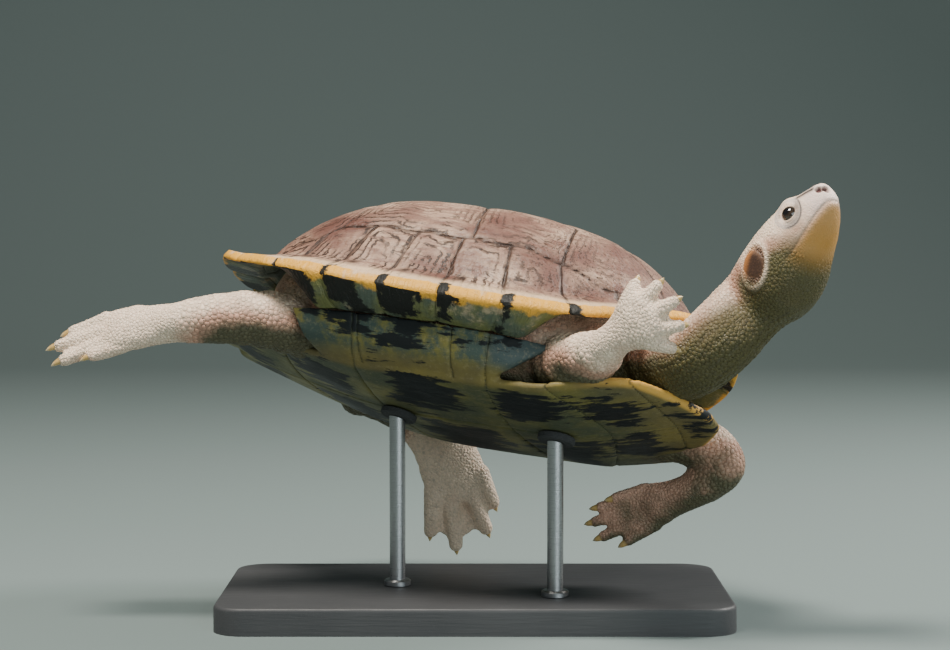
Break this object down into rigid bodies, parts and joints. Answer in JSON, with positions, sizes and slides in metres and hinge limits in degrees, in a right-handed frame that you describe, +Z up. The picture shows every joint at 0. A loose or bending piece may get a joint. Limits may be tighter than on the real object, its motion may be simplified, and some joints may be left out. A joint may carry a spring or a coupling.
{
  "type": "pond turtle",
  "caption": "Life-size pond turtle swimming with its neck stretched up, banked to one side and held over the floor by a plain display stand.",
  "frame": {"origin": "centre of the stand base's underside, on the floor", "axes": "+X along the base, towards the turtle's head end; +Y away from the side the head turns to; +Z up"},
  "size_m": [0.2835, 0.1794, 0.1619],
  "materials": {
    "shell": "pale pinkish-brown horn with dark grain, yellow rim and black blotches",
    "plastron": "olive-yellow horn with black blotches, satin",
    "skin": "fine-scaled greyish-pink skin, slightly moist",
    "claw": "translucent yellowish horn",
    "eye": "wet, near black with a brown iris",
    "ear": "bare dark-brown eardrum with an orange ring",
    "stand_base": "board painted matt charcoal",
    "stand_metal": "satin steel"
  },
  "bodies": {
    "root": {"carapace": "shell", "plastron": "plastron", "trunk": "skin", "neck": "skin", "head": "skin", "lower_jaw": "skin", "tail": "skin", "eye_right": "eye", "eye_left": "eye", "ear_right": "ear", "ear_left": "ear", "foreleg_right": "skin", "forefoot_right": "skin", "hind_leg_right": "skin", "hind_foot_right": "skin", "claw_fore_right_1": "claw", "claw_fore_right_2": "claw", "claw_fore_right_3": "claw", "claw_fore_right_4": "claw", "claw_fore_right_5": "claw", "claw_hind_right_1": "claw", "claw_hind_right_2": "claw", "claw_hind_right_3": "claw", "claw_hind_right_4": "claw", "foreleg_left": "skin", "forefoot_left": "skin", "hind_leg_left": "skin", "hind_foot_left": "skin", "claw_fore_left_1": "claw", "claw_fore_left_2": "claw", "claw_fore_left_3": "claw", "claw_fore_left_4": "claw", "claw_fore_left_5": "claw", "claw_hind_left_1": "claw", "claw_hind_left_2": "claw", "claw_hind_left_3": "claw", "claw_hind_left_4": "claw", "stand_base": "stand_base", "stand_rod_front": "stand_metal", "stand_rod_rear": "stand_metal", "stand_pad_front": "stand_metal", "stand_pad_rear": "stand_metal"}
  },
  "joints": []
}
